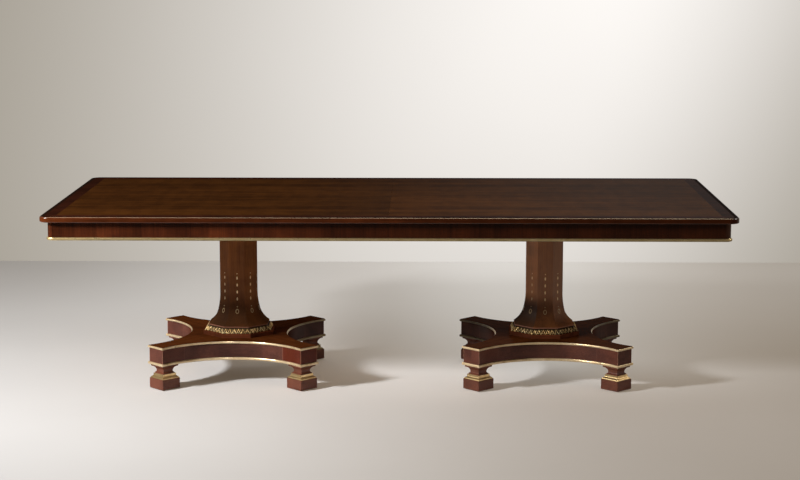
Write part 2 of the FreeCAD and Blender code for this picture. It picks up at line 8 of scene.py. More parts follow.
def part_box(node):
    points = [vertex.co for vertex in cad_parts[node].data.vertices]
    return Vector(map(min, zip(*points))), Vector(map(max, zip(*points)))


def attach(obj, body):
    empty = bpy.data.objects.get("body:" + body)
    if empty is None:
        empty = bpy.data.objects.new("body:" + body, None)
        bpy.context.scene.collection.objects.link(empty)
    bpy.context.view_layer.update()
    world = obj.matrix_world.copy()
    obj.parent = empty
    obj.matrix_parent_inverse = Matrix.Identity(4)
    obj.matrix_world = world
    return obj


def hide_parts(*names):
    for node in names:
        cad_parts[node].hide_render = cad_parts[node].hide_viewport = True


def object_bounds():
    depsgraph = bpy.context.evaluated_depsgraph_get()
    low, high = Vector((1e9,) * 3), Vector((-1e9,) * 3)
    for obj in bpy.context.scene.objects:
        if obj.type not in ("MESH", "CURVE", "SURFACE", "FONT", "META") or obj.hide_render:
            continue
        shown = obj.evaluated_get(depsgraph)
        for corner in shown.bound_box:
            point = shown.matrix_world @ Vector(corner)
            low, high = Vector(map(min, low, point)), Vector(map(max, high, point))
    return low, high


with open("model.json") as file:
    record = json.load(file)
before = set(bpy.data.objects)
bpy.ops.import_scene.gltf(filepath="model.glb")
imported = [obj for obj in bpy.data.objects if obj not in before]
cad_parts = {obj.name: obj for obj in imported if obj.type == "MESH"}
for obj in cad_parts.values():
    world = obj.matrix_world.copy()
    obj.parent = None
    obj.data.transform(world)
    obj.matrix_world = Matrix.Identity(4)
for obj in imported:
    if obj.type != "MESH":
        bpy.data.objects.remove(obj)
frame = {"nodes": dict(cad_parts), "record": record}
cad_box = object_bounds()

# A double pedestal dining table, in metres: X along the table, Y across it, Z up.
nodes = frame["nodes"]
slot_of = {piece["node"]: piece["material_slot"] for piece in frame["record"]["subparts"]}

# Places taken from the frame
_, table_high = cad_box
half_length = table_high.x
half_width = table_high.y
top_height = table_high.z
column_low, column_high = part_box("right_column")
pedestal_reach = (column_low.x + column_high.x) / 2
column_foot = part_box("right_collar")[1].z
strip_low, strip_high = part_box("right_brass_strip")
tip_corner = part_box("right_plinth_core")[1].y


# Colours and shader building

def srgb(red, green, blue):
    """A colour as seen on a screen, 0 to 255, as linear light."""
    levels = []
    for level in (red, green, blue):
        share = level / 255
        if share <= 0.04045:
            levels.append(share / 12.92)
        else:
            levels.append(((share + 0.055) / 1.055) ** 2.4)
    return (*levels, 1.0)


class Surface:
    """One material on the Principled shader, with the object's own coordinates at hand."""

    def __init__(self, name):
        self.material = bpy.data.materials.new(name)
        self.material.use_nodes = True
        self.tree = self.material.node_tree
        self.tree.nodes.clear()
        self.output = self.add("ShaderNodeOutputMaterial")
        self.shader = self.add("ShaderNodeBsdfPrincipled")
        self.tree.links.new(self.shader.outputs["BSDF"], self.output.inputs["Surface"])
        coordinates = self.add("ShaderNodeTexCoord")
        self.place = coordinates.outputs["Object"]
        self.x, self.y, self.z = self.parts(self.place)
        self.side, _, self.up = self.parts(coordinates.outputs["Normal"])

    def add(self, kind):
        return self.tree.nodes.new(kind)

    def parts(self, vector):
        node = self.add("ShaderNodeSeparateXYZ")
        self.put(node.inputs[0], vector)
        return node.outputs

    def put(self, socket, value):
        if isinstance(value, bpy.types.NodeSocket):
            self.tree.links.new(value, socket)
        else:
            socket.default_value = value

    def set(self, **values):
        for name, value in values.items():
            self.put(self.shader.inputs[name.replace("_", " ")], value)

    def math(self, operation, *values):
        node = self.add("ShaderNodeMath")
        node.operation = operation
        for socket, value in zip(node.inputs, values):
            self.put(socket, value)
        return node.outputs[0]

    def times(self, one, two):
        return self.math("MULTIPLY", one, two)

    def plus(self, one, two):
        return self.math("ADD", one, two)

    def minus(self, one, two):
        return self.math("SUBTRACT", one, two)

    def size(self, value):
        return self.math("ABSOLUTE", value)

    def choose(self, share, one, two):
        node = self.add("ShaderNodeMix")
        for socket, value in zip((node.inputs[0], node.inputs[2], node.inputs[3]), (share, one, two)):
            self.put(socket, value)
        return node.outputs[0]

    def blend(self, share, one, two, mode="MIX"):
        node = self.add("ShaderNodeMix")
        node.data_type = "RGBA"
        node.blend_type = mode
        for socket, value in zip((node.inputs[0], node.inputs[6], node.inputs[7]), (share, one, two)):
            self.put(socket, value)
        return node.outputs[2]

    def toned(self, colour, tone):
        """A colour made darker or paler by a plain number."""
        return self.blend(1.0, colour, self.grey(tone), "MULTIPLY")

    def point(self, one, two, three):
        node = self.add("ShaderNodeCombineXYZ")
        for socket, value in zip(node.inputs, (one, two, three)):
            self.put(socket, value)
        return node.outputs[0]

    def bell(self, across, over):
        """1 in the middle, falling off smoothly all round."""
        away = self.plus(self.times(across, across), self.times(over, over))
        return self.math("EXPONENT", self.times(away, -1.0))

    def length(self, across, over):
        return self.math("SQRT", self.plus(self.times(across, across), self.times(over, over)))

    def span(self, value, low, high, to_low=0.0, to_high=1.0):
        """A smooth passage from one value to another between two places."""
        node = self.add("ShaderNodeMapRange")
        node.interpolation_type = "SMOOTHSTEP"
        for socket, entry in zip(node.inputs, (value, low, high, to_low, to_high)):
            self.put(socket, entry)
        return node.outputs[0]

    def noise(self, place, scale=1.0, detail=2.0, distortion=0.0):
        node = self.add("ShaderNodeTexNoise")
        self.put(node.inputs["Vector"], place)
        self.put(node.inputs["Scale"], scale)
        self.put(node.inputs["Detail"], detail)
        self.put(node.inputs["Distortion"], distortion)
        return node.outputs[0]

    def draw(self, seed):
        """One random number for each seed."""
        node = self.add("ShaderNodeTexWhiteNoise")
        node.noise_dimensions = "1D"
        self.put(node.inputs["W"], seed)
        return node.outputs["Value"]

    def grey(self, level):
        node = self.add("ShaderNodeCombineColor")
        for socket in node.inputs:
            self.put(socket, level)
        return node.outputs[0]

    def bump(self, height, strength, distance):
        node = self.add("ShaderNodeBump")
        self.put(node.inputs["Strength"], strength)
        self.put(node.inputs["Distance"], distance)
        self.put(node.inputs["Height"], height)
        self.put(self.shader.inputs["Normal"], node.outputs[0])

    def show_front(self):
        """Leave the surface clear when seen from behind."""
        faced = self.add("ShaderNodeMixShader")
        self.put(faced.inputs[0], self.add("ShaderNodeNewGeometry").outputs["Backfacing"])
        self.put(faced.inputs[1], self.shader.outputs[0])
        self.put(faced.inputs[2], self.add("ShaderNodeBsdfTransparent").outputs[0])
        self.put(self.output.inputs["Surface"], faced.outputs[0])


# Places on the table, and tones that depend on them

column_faces = 8
foot_shade_low, foot_shade_high = 0.075, 0.15
arm_shade_depth = 0.18
left_end_reach = 0.25


def past_mitre(s):
    """1 on the table's ends, 0 on its long sides."""
    return s.math("GREATER_THAN", s.minus(s.size(s.x), s.size(s.y)), half_length - half_width)


def pedestal_x(s):
    """Distance from the pedestal's own middle, outward along the table."""
    return s.minus(s.size(s.x), pedestal_reach)


def on_right(s):
    """1 on the right pedestal, 0 on the left one."""
    return s.math("GREATER_THAN", s.x, 0.0)


def tone_above(s, shade):
    """A tone, low on the spreading foot of a column and 1 above it; where it darkens a colour it is painted
    shade.
    """
    return s.span(s.z, column_foot + foot_shade_low, column_foot + foot_shade_high, shade, 1.0)


def shaded_arms(s, shade):
    """1 in front and at the left, less on the back arms that stand away from the light."""
    back = s.span(s.y, 0.0, arm_shade_depth)
    right = s.span(s.x, -pedestal_reach, arm_shade_depth - pedestal_reach)
    return s.math("MULTIPLY_ADD", s.times(back, right), shade - 1, 1.0)


def past_left_end(s, tone):
    """A tone that starts a little way in from the table's left end, 1 before it."""
    return s.choose(s.span(s.x, -half_length, left_end_reach - half_length), 1.0, tone)


def column_face(s):
    """Number of the column's face, counted round from its outward side."""
    angle = s.math("ARCTAN2", s.y, pedestal_x(s))
    return s.math("ROUND", s.times(angle, column_faces / math.tau))


def right_column_sheen(s, even, inner):
    """Painted sheen on the right column above its foot: one share all round, more towards the table's middle.
    """
    lean = s.math("COSINE", s.times(column_face(s), math.tau / column_faces))
    inward = s.math("MAXIMUM", s.times(lean, -1.0), 0.0)
    share = s.math("MULTIPLY_ADD", inward, inner, even)
    return s.times(s.times(on_right(s), tone_above(s, 0.0)), share)


# How the grain lies on each wooden piece: along it, across it, into it, and the tone of each leaf

leaf_seed = 17.0
border_leaf, apron_leaf = 0.21, 0.09
quarter_contrast, half_contrast, front_gain = 0.09, 0.1, 0.15
border_contrast, end_tone = 0.08, 0.7
edge_shade = 0.66
apron_contrast, right_apron_contrast = 0.62, 0.15
left_apron_tone, right_apron_tone = 0.9, 0.56
apron_shade, apron_shade_low, apron_shade_high = 0.75, 0.717, 0.732
column_contrast = 0.16
stave_gain, inner_stave_gain = 0.1, 1.2
foot_shade, right_foot_shade = 0.27, 0.5
foot_left_tone, right_foot_left_tone, foot_right_tone = 0.6, 0.37, 2.0
foot_lean = 0.45
waist_reach, waist_end, waist_shade = 0.206, 0.27, 0.68
arm_shade = 0.58
right_plinth_shade = 0.85
step_left_tone, step_tone = 0.6, 1.22
side_lean = 0.7


def lay_matched(s):
    quarter = s.times(s.math("SIGN", s.times(s.x, s.y)), quarter_contrast)
    half = s.times(s.math("SIGN", s.x), half_contrast)
    front = s.times(s.y, -front_gain / half_width)
    tone = s.plus(s.plus(s.minus(half, quarter), front), 1.0)
    return s.size(s.x), s.size(s.y), s.z, tone


def leaf_across(s, end, across, width):
    """A random number for each leaf of veneer laid side by side round the table."""
    return s.draw(s.math("FLOOR", s.times(s.plus(across, s.times(end, leaf_seed)), 1 / width)))


def lay_crossband(s):
    end = past_mitre(s)
    across = s.choose(end, s.x, s.y)
    leaf = leaf_across(s, end, across, border_leaf)
    tone = s.math("MULTIPLY_ADD", leaf, border_contrast, 1 - border_contrast / 2)
    return s.choose(end, s.y, s.x), across, s.z, s.times(tone, s.choose(end, 1.0, end_tone))


def lay_edge(s):
    end = past_mitre(s)
    # Painted shade: the edge grows darker towards the right, away from the key lamp.
    tone = s.span(s.x, -half_width, half_width, 1.0, edge_shade)
    return s.choose(end, s.x, s.y), s.choose(end, s.y, s.x), s.z, tone


def lay_apron(s):
    end = past_mitre(s)
    across = s.choose(end, s.x, s.y)
    leaf = leaf_across(s, end, across, apron_leaf)
    contrast = s.span(s.x, -half_width, half_width, apron_contrast, right_apron_contrast)
    tone = s.math("MULTIPLY_ADD", s.minus(leaf, 0.5), contrast, 1.0)
    # Painted shade: the apron grows darker towards the right, away from the key lamp.
    tone = s.times(tone, s.span(s.x, -half_width, half_width / 2, left_apron_tone, right_apron_tone))
    # Painted shadow of the top's overhang on the apron's upper part, from a little way in from the left end.
    overhang_shadow = s.span(s.z, apron_shade_low, apron_shade_high, 1.0, apron_shade)
    return s.z, across, s.choose(end, s.y, s.x), s.times(tone, past_left_end(s, overhang_shadow))


def lay_column(s):
    leaf = s.draw(s.plus(column_face(s), s.times(s.math("SIGN", s.x), leaf_seed)))
    tone = s.math("MULTIPLY_ADD", leaf, column_contrast, 1 - column_contrast / 2)
    # Painted light and shade on the column's spreading foot: darker all over, darker still on its left facets
    # and lighter on its right ones.
    left_tone = s.choose(on_right(s), foot_left_tone, right_foot_left_tone)
    left = s.span(s.side, -foot_lean, 0.0, left_tone, 1.0)
    sides = s.times(left, s.span(s.side, 0.0, foot_lean, 1.0, foot_right_tone))
    shade = s.times(s.choose(on_right(s), foot_shade, right_foot_shade), sides)
    tone = s.times(tone, tone_above(s, shade))
    # Painted sheen brightens the right column above its foot.
    return s.z, s.x, s.y, s.times(tone, s.plus(right_column_sheen(s, stave_gain, inner_stave_gain), 1.0))


def lay_plinth(s):
    out = pedestal_x(s)
    end = s.math("GREATER_THAN", s.size(out), s.size(s.y))
    # Painted shade: darker at the plinth's waist, and on the back arms that stand away from the light.
    waist = s.span(s.length(out, s.y), waist_reach, waist_end, waist_shade, 1.0)
    tone = s.times(waist, shaded_arms(s, arm_shade))
    return s.choose(end, s.x, s.y), s.z, s.choose(end, s.y, s.x), tone


def lay_arms(s):
    out, over = s.size(pedestal_x(s)), s.size(s.y)
    half_root = math.sqrt(0.5)
    # Painted shade: the right pedestal's plinth top is darker.
    tone = s.choose(on_right(s), 1.0, right_plinth_shade)
    return s.times(s.plus(out, over), half_root), s.times(s.minus(out, over), half_root), s.z, tone


def lay_level(s):
    return s.x, s.z, s.y, 1.0


def lay_step(s):
    # Painted light and shade by side: the step is darker on its left faces, lighter to the front and right.
    return s.x, s.z, s.y, s.span(s.side, -side_lean, 0.0, step_left_tone, step_tone)


def lay_over(s):
    return s.y, s.x, s.z, 1.0


# How the polish lies on each wooden piece

rim_start, rim_end, rim_share = 0.4, 0.8, 0.08
corner_round, end_coat = 0.02, 0.7
left_column_share, column_foot_share = 0.25, 0.5
left_arm_share = 0.2
left_top_share = 0.1
arris_start, arris_end, face_share = 0.05, 0.4, 0.1
flat_start, flat_end, flat_share = 0.93, 0.99, 0.02
corner_reach = 0.025


def even_polish(s, coat):
    return coat


def calm_polish(s, coat):
    """Polish that shines where a face is seen squarely and dulls towards its rim."""
    rim = s.add("ShaderNodeLayerWeight").outputs["Facing"]
    return s.span(rim, rim_start, rim_end, coat, rim_share * coat)


def apron_polish(s, coat):
    """As the calm polish, but full on the rounded corners of the right end."""
    start = strip_high.x - corner_round
    corner = s.span(s.x, start, start + corner_round / 2, 0.0, end_coat)
    return s.math("MAXIMUM", calm_polish(s, coat), corner)


def column_polish(s, coat):
    """As the calm polish, but the left column and the feet of both are duller."""
    column = s.times(calm_polish(s, coat), s.choose(on_right(s), left_column_share, 1.0))
    return s.times(column, tone_above(s, column_foot_share))


def arm_polish(s, coat):
    """Polish of the plinth's top, fuller on the right pedestal."""
    return s.choose(on_right(s), left_arm_share * coat, coat)


def level_polish(s, coat):
    """Polish of the top, fuller towards the right end."""
    return s.span(s.x, -half_width, half_length, left_top_share * coat, coat)


def arris_polish(s, coat):
    """Polish that is fullest where the edge turns over and at its right end."""
    over = s.span(s.size(s.up), arris_start, arris_end, face_share * coat, coat)
    flat = s.span(s.up, flat_start, flat_end, 1.0, flat_share)
    corner = s.span(s.x, half_length - corner_reach, half_length, 0.0, coat)
    return s.times(s.math("MAXIMUM", over, corner), flat)


# Joints and redder panels on the wood, with painted sheen and painted highlights

tip_joint_reach, joint_line = 0.343, 0.0009
tip_red, inner_tip_red = 0.15, 1.0
tip_line, inner_tip_line = 0.12, 0.4
arris_highlight_width, arris_highlight_share = 0.0016, 0.6
stave_sheen, inner_stave_sheen, all_sheen = 0.12, 0.2, 0.02
lip_height, lip_highlight_share = 0.0045, 0.3
end_highlight_width, end_highlight_share = 0.034, 0.9
red_tint = srgb(250, 178, 130)
joint_highlight_colour = srgb(170, 112, 92)
arris_highlight_colour = srgb(190, 140, 112)
sheen_colour = srgb(178, 136, 106)
lip_highlight_colour = srgb(176, 120, 100)
flat_colour = srgb(28, 11, 3)
end_highlight_colour = srgb(78, 50, 37)


def tip_panels(s, colour):
    """Redder veneer beyond the joint near each tip, most on one, a pale line painted at the joint as its
    highlight, and painted highlights along the tips' corners.
    """
    out, over = s.size(pedestal_x(s)), s.size(s.y)
    reach = s.length(out, over)
    tip = s.math("GREATER_THAN", reach, tip_joint_reach)
    inner = s.math("LESS_THAN", s.math("MAXIMUM", s.math("MAXIMUM", s.x, pedestal_x(s)), s.y), 0.0)
    red = s.blend(s.choose(inner, tip_red, inner_tip_red), colour, red_tint, "MULTIPLY")
    # The joint is real; its pale line is a painted highlight.
    line = s.math("LESS_THAN", s.size(s.minus(reach, tip_joint_reach)), joint_line)
    seen = s.times(line, s.choose(inner, tip_line, inner_tip_line))
    colour = s.blend(seen, s.blend(tip, colour, red), joint_highlight_colour)
    # Painted highlight along the corners of the tips.
    arris = s.span(s.math("MAXIMUM", out, over), tip_corner - arris_highlight_width, tip_corner)
    return s.blend(s.times(arris, arris_highlight_share), colour, arris_highlight_colour)


def painted_stave_sheen(s, colour):
    """Painted sheen on the right column, most on its inner side, a little painted sheen on both columns, and
    a painted highlight along each column's lip.
    """
    colour = s.blend(s.plus(right_column_sheen(s, stave_sheen, inner_stave_sheen), all_sheen), colour, sheen_colour)
    # Painted highlight along the lip at the foot of each column.
    lip = s.math("LESS_THAN", s.z, column_foot + lip_height)
    return s.blend(s.times(lip, lip_highlight_share), colour, lip_highlight_colour)


def dark_flat(s, colour):
    """The level top of the edge is as dark as the banding beside it."""
    return s.blend(s.span(s.up, flat_start, flat_end), colour, flat_colour)


def apron_end_highlight(s, colour):
    """Painted highlight on the rounded corners of the apron's right end."""
    along = s.span(s.x, strip_high.x - end_highlight_width, strip_high.x - end_highlight_width / 2)
    over = s.span(s.size(s.y), strip_high.y - 2 * end_highlight_width, strip_high.y - end_highlight_width)
    return s.blend(s.times(s.times(along, over), end_highlight_share), colour, end_highlight_colour)


# Wood: rates of the figure along and across the grain for each metre, and the weight of each part of it

materials = {}
mottle_rates, fibre_rates, pore_rates = (16.0, 8.0), (7.0, 330.0), (34.0, 1100.0)
ribbon_range, ribbon_twist = (0.32, 0.68), 0.7
mottle_range, fibre_range, pore_range = (0.35, 0.65), (0.3, 0.7), (0.58, 0.72)
ribbon_share, fibre_share, mottle_share = 0.42, 0.36, 0.22
pore_share, pore_depth = 0.45, 0.35
fibre_smooth, pore_rough = 0.05, 0.12
fibre_height = 0.35
bump_strength = 0.12
wood_bump = 0.0003


def wood(name, lay, deep, pale, gloss, figure=(1.1, 12.0), specular=0.0, coat=0.0, coat_gloss=0.1,
         change=None, polish=even_polish):
    """Figured wood: broad ribbons, fine fibre, short dark pores, and a polish over them."""
    s = Surface(name)
    along, across, inner, tone = lay(s)

    def stretched(rate_along, rate_across):
        return s.point(s.times(along, rate_along), s.times(across, rate_across), s.times(inner, rate_across))

    ribbon = s.span(s.noise(stretched(*figure), detail=4.0, distortion=ribbon_twist), *ribbon_range)
    mottle = s.span(s.noise(stretched(*mottle_rates), detail=2.0), *mottle_range)
    fibre = s.span(s.noise(stretched(*fibre_rates), detail=2.0), *fibre_range)
    pores = s.span(s.noise(stretched(*pore_rates), detail=1.0), *pore_range)
    share = s.plus(s.times(ribbon, ribbon_share), s.times(fibre, fibre_share))
    colour = s.blend(s.plus(share, s.times(mottle, mottle_share)), deep, pale)
    pore_colour = tuple(pore_depth * level for level in deep[:3]) + (1.0,)
    colour = s.blend(s.times(pores, pore_share), colour, pore_colour)
    colour = s.toned(colour, tone)
    if change:
        colour = change(s, colour)
    rough = s.plus(s.math("MULTIPLY_ADD", fibre, -fibre_smooth, gloss), s.times(pores, pore_rough))
    s.set(Base_Color=colour, Roughness=rough, Specular_IOR_Level=specular)
    s.set(Coat_Weight=polish(s, coat), Coat_Roughness=coat_gloss)
    s.bump(s.minus(s.times(fibre, fibre_height), pores), bump_strength, wood_bump)
    materials[name] = s.material


# Metal and gilding, with painted shade that depends on the place

gilt_shade, right_gilt_shade = 0.36, 0.5
band_left_tone, band_right_tone = 0.7, 1.45
collar_left_tone, right_collar_tone = 0.75, 0.9
collar_left_start, collar_left_end = -0.13, -0.06
ring_shade = 0.38
strip_lip, strip_lip_shade = 0.01, 0.4


def shaded_gilt(s):
    """Painted shade on the gilding of the back arms, most of all on the right pedestal."""
    back = s.times(s.span(s.y, 0.0, arm_shade_depth), on_right(s))
    return s.times(shaded_arms(s, gilt_shade), s.math("MULTIPLY_ADD", back, right_gilt_shade - 1, 1.0))


def shaded_bands(s):
    """As on the arms, with painted shade on the left sides of the feet and painted light on their right
    sides.
    """
    return s.times(shaded_gilt(s), s.span(s.side, -side_lean, side_lean, band_left_tone, band_right_tone))


def shaded_collars(s):
    """Painted shade round the left side of each collar, and on the right pedestal."""
    aside = s.minus(s.x, s.times(s.math("SIGN", s.x), pedestal_reach))
    left = s.span(aside, collar_left_start, collar_left_end, collar_left_tone, 1.0)
    return s.times(left, s.choose(on_right(s), 1.0, right_collar_tone))


def shaded_rings(s):
    """Painted shade on the inlay on the spreading foot of a column."""
    return tone_above(s, ring_shade)


def shaded_strip_lip(s):
    """Painted shade along the lower edge of the strip, from a little way in from the left end."""
    return past_left_end(s, s.span(s.z, strip_low.z, strip_low.z + strip_lip, strip_lip_shade, 1.0))


along_scratch = (8.0, 8.0, 900.0)
even_scratch = (160.0, 160.0, 160.0)
cloud_scale, cloud_range = 26.0, (0.3, 0.7)
speck_scale, speck_range = 420.0, (0.35, 0.75)
cloud_share, speck_share = 0.65, 0.35
cloud_smooth, speck_rough = 0.08, 0.06
worn_rough, worn_dull = 0.2, 0.4
relief_low, relief_high = 0.38, 0.88
hollow_share, hollow_rough, hollow_dull = 0.97, 0.25, 0.8
hollow_colour = srgb(36, 18, 8)
scratch_height, speck_height = 0.5, 0.5
metal_bump = 0.0002


def metal(name, deep, pale, gloss, brushed, worn=None, worn_scale=70.0, worn_range=(0.62, 0.74),
          worn_share=0.55, relief=False, shine=1.0, specular=0.5, tone=None):
    """Brass, steel or gold leaf: cloudy tone, fine scratches, and dull brown where it lies deep or wears."""
    s = Surface(name)
    cloud = s.span(s.noise(s.place, cloud_scale, detail=4.0), *cloud_range)
    speck = s.span(s.noise(s.place, speck_scale, detail=3.0), *speck_range)
    drawn = s.point(s.times(s.x, brushed[0]), s.times(s.y, brushed[1]), s.times(s.z, brushed[2]))
    scratch = s.noise(drawn, detail=2.0)
    colour = s.blend(s.plus(s.times(cloud, cloud_share), s.times(speck, speck_share)), deep, pale)
    rough = s.plus(s.math("MULTIPLY_ADD", cloud, -cloud_smooth, gloss), s.times(speck, speck_rough))
    if worn:
        spots = s.span(s.noise(s.place, worn_scale, detail=5.0), *worn_range)
        colour = s.blend(s.times(spots, worn_share), colour, worn)
        rough = s.plus(rough, s.times(spots, worn_rough))
        shine = s.math("MULTIPLY_ADD", spots, -worn_dull * shine, shine)
    if tone:
        colour = s.toned(colour, tone(s))
    if relief:
        carved = s.add("ShaderNodeAttribute")
        carved.attribute_name = "relief"
        hollow = s.span(carved.outputs["Fac"], relief_low, relief_high, 1.0, 0.0)
        colour = s.blend(s.times(hollow, hollow_share), colour, hollow_colour)
        rough = s.plus(rough, s.times(hollow, hollow_rough))
        shine = s.times(shine, s.math("MULTIPLY_ADD", hollow, -hollow_dull, 1.0))
    s.set(Base_Color=colour, Metallic=shine, Roughness=rough, Specular_IOR_Level=specular)
    height = s.plus(s.times(scratch, scratch_height), s.times(speck, speck_height))
    s.bump(height, bump_strength, metal_bump)
    materials[name] = s.material


plastic_cloud_scale, pebble_scale = 60.0, 900.0
pebble_rough, pebble_strength, pebble_bump = 0.15, 0.2, 0.0003


def plastic(name, deep, pale, gloss):
    """Plain plastic with a fine pebbled skin."""
    s = Surface(name)
    cloud = s.noise(s.place, plastic_cloud_scale, detail=3.0)
    pebble = s.noise(s.place, pebble_scale, detail=2.0)
    rough = s.math("MULTIPLY_ADD", pebble, pebble_rough, gloss)
    s.set(Base_Color=s.blend(cloud, deep, pale), Roughness=rough)
    s.bump(pebble, pebble_strength, pebble_bump)
    materials[name] = s.material


# The materials and the pieces that wear them

wood("field_mahogany", lay_matched, srgb(49, 25, 8), srgb(86, 50, 19), gloss=0.42,
     coat=0.06, coat_gloss=0.18, polish=level_polish)
wood("crossband_mahogany", lay_crossband, srgb(40, 18, 10), srgb(68, 33, 20), gloss=0.42,
     coat=0.06, coat_gloss=0.18, polish=level_polish)
wood("apron_mahogany", lay_apron, srgb(45, 18, 8), srgb(82, 38, 17), gloss=0.3,
     coat=0.2, coat_gloss=0.2, change=apron_end_highlight, polish=apron_polish)
wood("solid_mahogany", lay_level, srgb(74, 38, 27), srgb(116, 67, 49), gloss=0.3,
     coat=0.5, coat_gloss=0.3, polish=calm_polish)
wood("step_mahogany", lay_step, srgb(62, 28, 15), srgb(104, 54, 30), gloss=0.34,
     coat=0.2, coat_gloss=0.3, polish=calm_polish)
wood("edge_mahogany", lay_edge, srgb(50, 21, 7), srgb(90, 42, 17), gloss=0.28,
     coat=1.0, coat_gloss=0.13, change=dark_flat, polish=arris_polish)
wood("column_mahogany", lay_column, srgb(86, 48, 20), srgb(146, 87, 42), gloss=0.28,
     coat=1.0, coat_gloss=0.42, change=painted_stave_sheen, polish=column_polish)
wood("plinth_mahogany", lay_plinth, srgb(63, 33, 26), srgb(101, 59, 46), gloss=0.26,
     coat=0.4, coat_gloss=0.3, change=tip_panels, polish=calm_polish)
wood("plinth_top_mahogany", lay_arms, srgb(53, 24, 9), srgb(94, 50, 21), gloss=0.4,
     coat=0.018, coat_gloss=0.2, polish=arm_polish)
wood("core_board", lay_over, srgb(148, 118, 88), srgb(184, 152, 116), gloss=0.7, figure=(6.0, 22.0))
wood("beech_along", lay_level, srgb(168, 128, 90), srgb(206, 170, 128), gloss=0.55, specular=0.3)
wood("beech_over", lay_over, srgb(164, 126, 90), srgb(204, 168, 128), gloss=0.55, specular=0.3)
metal("brass", srgb(186, 162, 112), srgb(218, 198, 150), gloss=0.34, brushed=along_scratch,
      shine=0.85, tone=shaded_strip_lip)
metal("inlay", srgb(226, 184, 126), srgb(255, 224, 170), gloss=0.4, brushed=even_scratch,
      shine=0.35, tone=shaded_rings)
metal("gilt", srgb(198, 172, 130), srgb(234, 214, 178), gloss=0.36, brushed=even_scratch,
      worn=srgb(116, 72, 40), shine=0.7, specular=0.2, tone=shaded_gilt)
metal("gilt_band", srgb(176, 148, 102), srgb(214, 190, 144), gloss=0.36, brushed=even_scratch,
      worn=srgb(116, 72, 40), shine=0.9, specular=0.2, tone=shaded_bands)
metal("gilt_carved", srgb(236, 190, 118), srgb(255, 231, 178), gloss=0.36, brushed=even_scratch,
      worn=srgb(58, 32, 14), worn_scale=150.0, worn_range=(0.46, 0.58), worn_share=0.3,
      relief=True, shine=0.6, specular=0.05, tone=shaded_collars)
metal("steel", srgb(150, 150, 152), srgb(196, 196, 198), gloss=0.38, brushed=even_scratch)
plastic("nylon", srgb(58, 54, 50), srgb(84, 78, 72), gloss=0.55)

special = {
    "edge_moulding": "edge_mahogany",
    "column_inlay": "inlay",
    "step": "step_mahogany",
    "foot_bands": "gilt_band",
    "plinth_top": "plinth_top_mahogany",
    "bearers": "beech_over",
    "head_plate": "beech_over",
    "runners": "beech_along",
}


def finish_for(node_name):
    """The piece's own finish, or else the one that its material slot names."""
    plain = node_name.split("_", 1)[1]
    return materials[special.get(plain) or slot_of[node_name]]


for node_name, node in nodes.items():
    node.data.materials.clear()
    node.data.materials.append(finish_for(node_name))


# Carved collar: slanting petals and buds round the foot of each column

leaves_per_face = 6
steps_per_leaf = 18
steps_down = 32
groove_share = 0.16
groove_depth = 0.003
collar_relief = 0.0045
collar_draw_in = 0.003
ground_inset = 0.001
collar_ledge = 0.002
collar_wall = 0.004
bulge_power = 1.3

# Petals and buds, in shares of a leaf's half width and of the carved height
# Bend, fullness and beat are plain numbers
petal_foot, petal_sweep, petal_bend = 0.08, 0.95, 1.1
petal_slim, petal_swell, petal_fullness = 0.07, 0.17, 0.6
upper_bud_rise, upper_bud_width, upper_bud_down, upper_bud_length = 0.85, 0.22, 0.22, 0.18
lower_bud_rise, lower_bud_width, lower_bud_down, lower_bud_length = 0.9, 0.26, 0.78, 0.16
leaf_rise, leaf_uneven, leaf_beat = 0.85, 0.15, 1.7


def mound(across, along):
    """A rounded rise, 1 in its middle and 0 at its rim."""
    return math.sqrt(max(0.0, 1 - across * across - along * along))


def carving(turn, down):
    """Relief at a place round the ring, counted in leaves: slanting petals with buds between them."""
    leaf = round(turn)
    aside = abs(turn - leaf) * 2
    petal_middle = petal_foot + petal_sweep * (1 - down) ** petal_bend
    petal_width = petal_slim + petal_swell * math.sin(math.pi * down) ** petal_fullness
    petal = mound((aside - petal_middle) / petal_width, 0.0)
    upper_bud = mound(aside / upper_bud_width, (down - upper_bud_down) / upper_bud_length)
    lower_bud = mound((1 - aside) / lower_bud_width, (down - lower_bud_down) / lower_bud_length)
    rise = max(petal, upper_bud_rise * upper_bud, lower_bud_rise * lower_bud)
    return rise * (leaf_rise + leaf_uneven * math.sin(leaf * leaf * leaf_beat))


